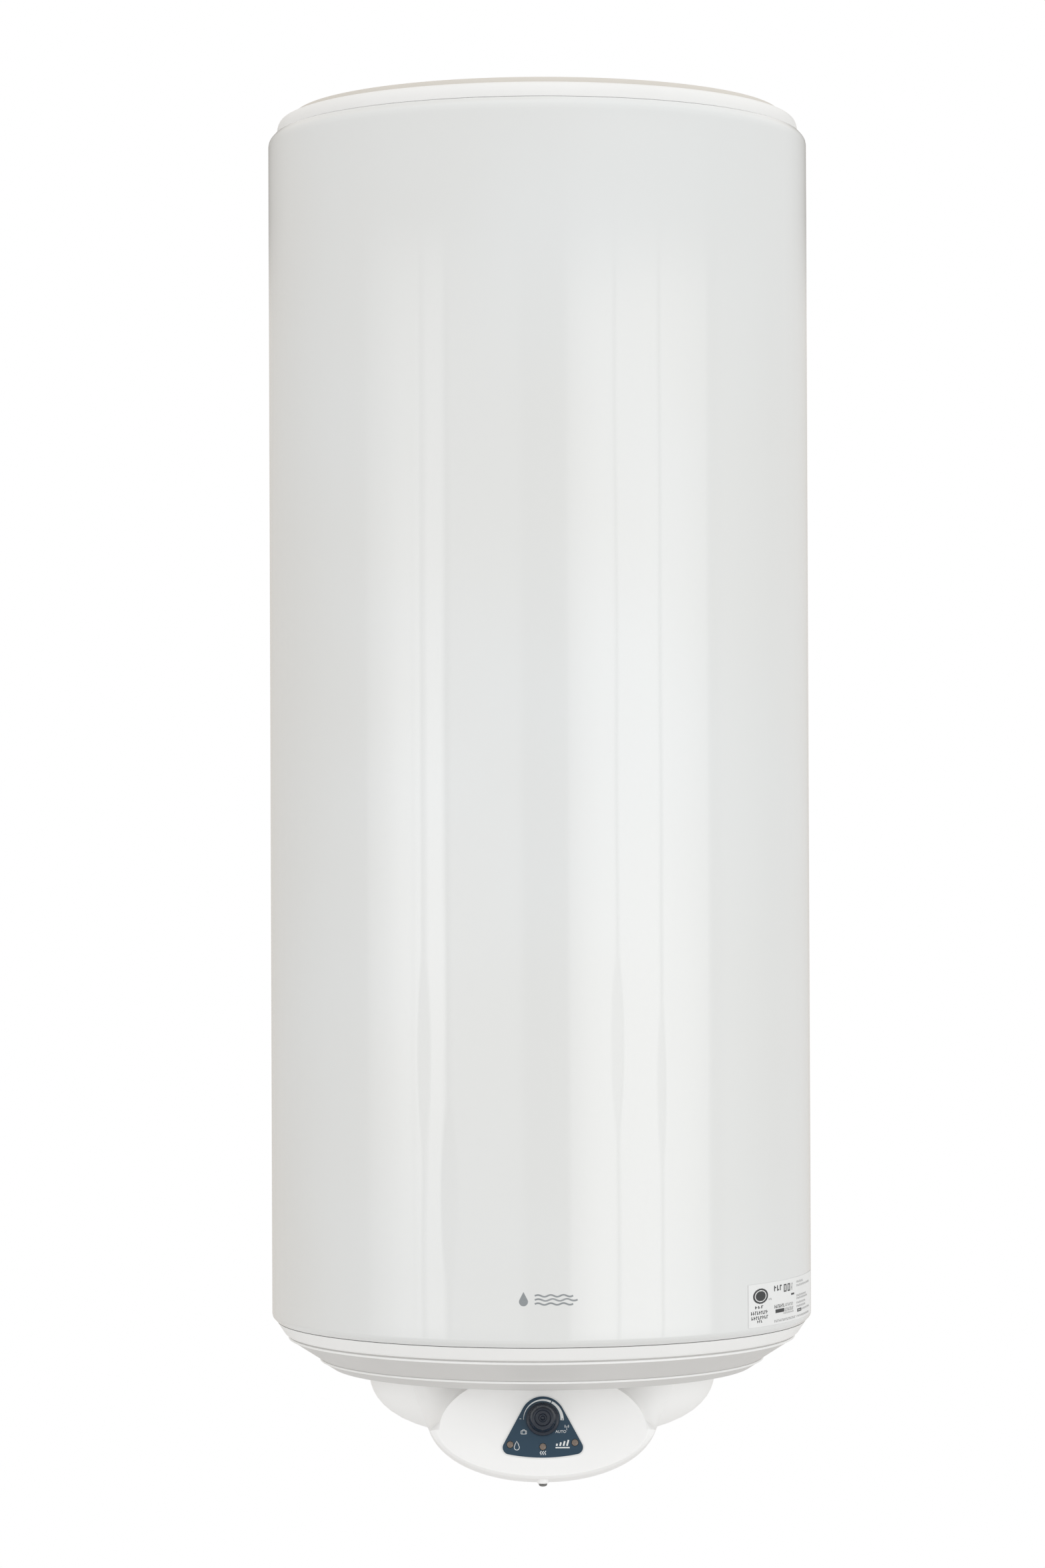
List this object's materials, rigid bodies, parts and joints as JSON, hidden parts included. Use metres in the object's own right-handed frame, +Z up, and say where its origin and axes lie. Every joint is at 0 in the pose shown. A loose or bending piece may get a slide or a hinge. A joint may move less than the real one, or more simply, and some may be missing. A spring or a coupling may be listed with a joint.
{
  "type": "tank water heater",
  "caption": "Wall-hung vertical electric tank water heater: gloss white jacket, stepped lower cover, and a service cover with a control knob.",
  "frame": {"origin": "centre of the upper wall bracket's face, on the wall plane", "axes": "+Y into the wall, so the heater stands off it towards -Y; +Z up along the tank; +X to the right seen from the front"},
  "size_m": [0.505, 0.53, 1.2656],
  "materials": {
    "jacket_enamel": "gloss",
    "cover_plastic": "satin",
    "base_plastic": "satin",
    "capot_plastic": "satin",
    "foam": "matte",
    "tank_steel": "satin",
    "galvanised_steel": "satin",
    "zinc_screw": "satin",
    "gasket_rubber": "matte",
    "steatite": "matte",
    "anode_metal": "satin",
    "nylon": "satin",
    "stainless": "satin",
    "housing_grey": "satin",
    "board_green": "satin",
    "component_black": "satin",
    "battery_wrap": "satin",
    "label_slate": "satin",
    "knob_black": "gloss",
    "lens_smoke": "satin",
    "sticker_white": "satin",
    "signal_red": "satin",
    "signal_blue": "satin",
    "brass": "satin",
    "wire_grey": "satin"
  },
  "bodies": {
    "heater": {"jacket": "jacket_enamel", "top_cover": "cover_plastic", "bottom_cover": "base_plastic", "foam_insulation": "foam", "tank_shell": "tank_steel", "tank_top_dome": "tank_steel", "tank_bottom_dome": "tank_steel", "flange_neck": "tank_steel", "flange_gasket": "gasket_rubber", "flange_plate": "galvanised_steel", "flange_bolt_1": "zinc_screw", "flange_bolt_2": "zinc_screw", "flange_bolt_3": "zinc_screw", "flange_bolt_4": "zinc_screw", "flange_bolt_5": "zinc_screw", "flange_bolt_6": "zinc_screw", "heater_sheath": "tank_steel", "heating_element": "steatite", "sensor_pocket": "stainless", "temperature_sensor": "component_black", "anode_rod": "anode_metal", "anode_insulator": "nylon", "anode_nut": "zinc_screw", "earth_stud": "brass", "hot_outlet_pipe": "galvanised_steel", "cold_inlet_pipe": "galvanised_steel", "hot_dip_tube": "stainless", "cold_diffuser": "nylon", "hot_pipe_ring": "signal_red", "cold_pipe_ring": "signal_blue", "upper_bracket": "galvanised_steel", "lower_bracket": "galvanised_steel", "thermostat_housing": "housing_grey", "thermostat_board": "board_green", "heater_relay": "component_black", "board_transformer": "battery_wrap", "terminal_block": "nylon", "safety_cutout": "component_black", "backup_battery": "battery_wrap", "control_board": "board_green", "potentiometer": "component_black", "control_label": "label_slate", "led_lens_left": "lens_smoke", "led_lens_centre": "lens_smoke", "led_lens_right": "lens_smoke", "service_cover": "capot_plastic", "cover_screw": "zinc_screw", "cable_grommet": "gasket_rubber", "rating_sticker": "sticker_white", "element_wire_live": "wire_grey", "element_wire_neutral": "wire_grey", "anode_wire": "wire_grey", "control_lead": "wire_grey"},
    "knob": {"control_knob": "knob_black", "knob_shaft": "brass"},
    "reset": {"reset_button": "signal_red"}
  },
  "joints": [
    {"name": "knob_turn", "type": "hinge", "parent": "heater", "child": "knob", "pos_m": [0, -0.4341, -0.9969], "axis": [0, -0.9781, 0.2079], "range_deg": [-125, 125]},
    {"name": "reset_press", "type": "slide", "parent": "heater", "child": "reset", "axis": [0, 0, 1], "range_m": [0, 0.0025], "stiffness_N_per_m": 200}
  ]
}
